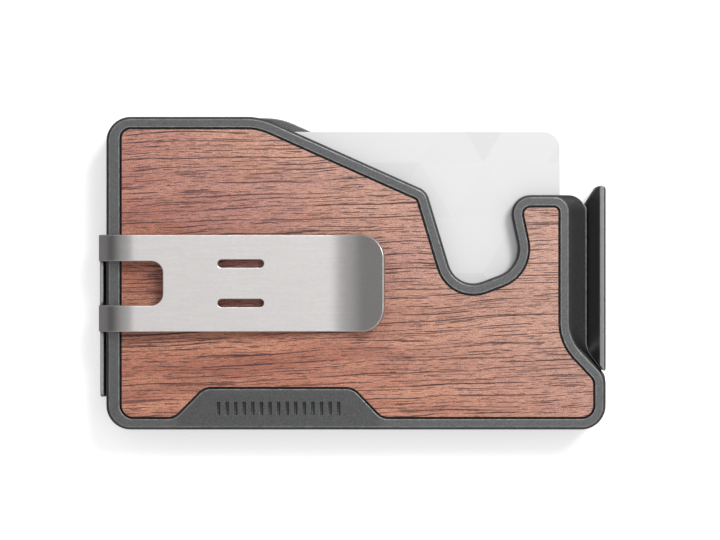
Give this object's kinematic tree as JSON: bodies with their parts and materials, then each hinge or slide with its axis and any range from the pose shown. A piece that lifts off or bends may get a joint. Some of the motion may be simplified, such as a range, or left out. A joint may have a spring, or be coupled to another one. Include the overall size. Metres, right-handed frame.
{
  "type": "card holder with money clip",
  "caption": "Rigid card holder with wood-faced metal shells, a thumb notch, a side lever that fans the cards out, and a spring-steel money clip on its front.",
  "frame": {"origin": "centre of the case's flat back face, on which it lies", "axes": "+X along the case from the clip's bend to the lever, +Y across it towards the side the cards leave by, +Z out of the front face"},
  "size_m": [0.1006, 0.062, 0.0152],
  "materials": {
    "anodised": "fine bead-blasted, dark grey anodised",
    "walnut": "reddish brown open-pored veneer, satin oiled, grain along X",
    "steel": "satin brushed spring steel, tumbled edges",
    "black_oxide": "black oxide steel",
    "bronze": "sintered bronze",
    "card_plastic": "white card with a faint grey pattern of triangles",
    "nylon": "smooth dark nylon"
  },
  "bodies": {
    "case": {"front_shell": "anodised", "front_panel": "walnut", "back_shell": "anodised", "back_panel": "walnut", "middle_frame": "anodised", "pressure_spring": "steel", "clip_base": "steel", "clip_screw_1": "black_oxide", "clip_screw_2": "black_oxide", "case_screw_1": "black_oxide", "case_screw_2": "black_oxide", "case_screw_3": "black_oxide", "case_screw_4": "black_oxide", "pivot_screw": "black_oxide", "friction_washer_front": "nylon", "friction_washer_back": "nylon"},
    "lever": {"lever": "anodised", "pivot_bush": "bronze"},
    "card_1": {"card_1": "card_plastic"},
    "card_2": {"card_2": "card_plastic"},
    "card_3": {"card_3": "card_plastic"},
    "card_4": {"card_4": "card_plastic"},
    "card_5": {"card_5": "card_plastic"},
    "clip": {"clip_leaf": "steel"}
  },
  "joints": [
    {"name": "lever_swing", "type": "hinge", "parent": "case", "child": "lever", "pos_m": [0.0447, -0.0262, 0.0052], "axis": [0, 0, -1], "range_deg": [0, 32]},
    {"name": "card_1_fan", "type": "hinge", "parent": "case", "child": "card_1", "pos_m": [-0.04192, 0.02492, 0.0052], "axis": [0, 0, 1], "range_deg": [0, 3.94]},
    {"name": "card_2_fan", "type": "hinge", "parent": "case", "child": "card_2", "pos_m": [-0.04192, 0.02492, 0.0052], "axis": [0, 0, 1], "range_deg": [0, 7.14]},
    {"name": "card_3_fan", "type": "hinge", "parent": "case", "child": "card_3", "pos_m": [-0.04192, 0.02492, 0.0052], "axis": [0, 0, 1], "range_deg": [0, 10.34]},
    {"name": "card_4_fan", "type": "hinge", "parent": "case", "child": "card_4", "pos_m": [-0.04192, 0.02492, 0.0052], "axis": [0, 0, 1], "range_deg": [0, 13.54]},
    {"name": "card_5_fan", "type": "hinge", "parent": "case", "child": "card_5", "pos_m": [-0.04192, 0.02492, 0.0052], "axis": [0, 0, 1], "range_deg": [0, 16.74]},
    {"name": "clip_flex", "type": "hinge", "parent": "case", "child": "clip", "pos_m": [-0.0507, -0.002, 0.0035], "axis": [0, -1, 0], "range_deg": [0, 6], "stiffness_Nm_per_rad": 2}
  ],
  "couplings": [
    {"joint": "card_1_fan", "follows": "lever_swing", "ratio": 0.12},
    {"joint": "card_2_fan", "follows": "lever_swing", "ratio": 0.22},
    {"joint": "card_3_fan", "follows": "lever_swing", "ratio": 0.32},
    {"joint": "card_4_fan", "follows": "lever_swing", "ratio": 0.42},
    {"joint": "card_5_fan", "follows": "lever_swing", "ratio": 0.52}
  ]
}
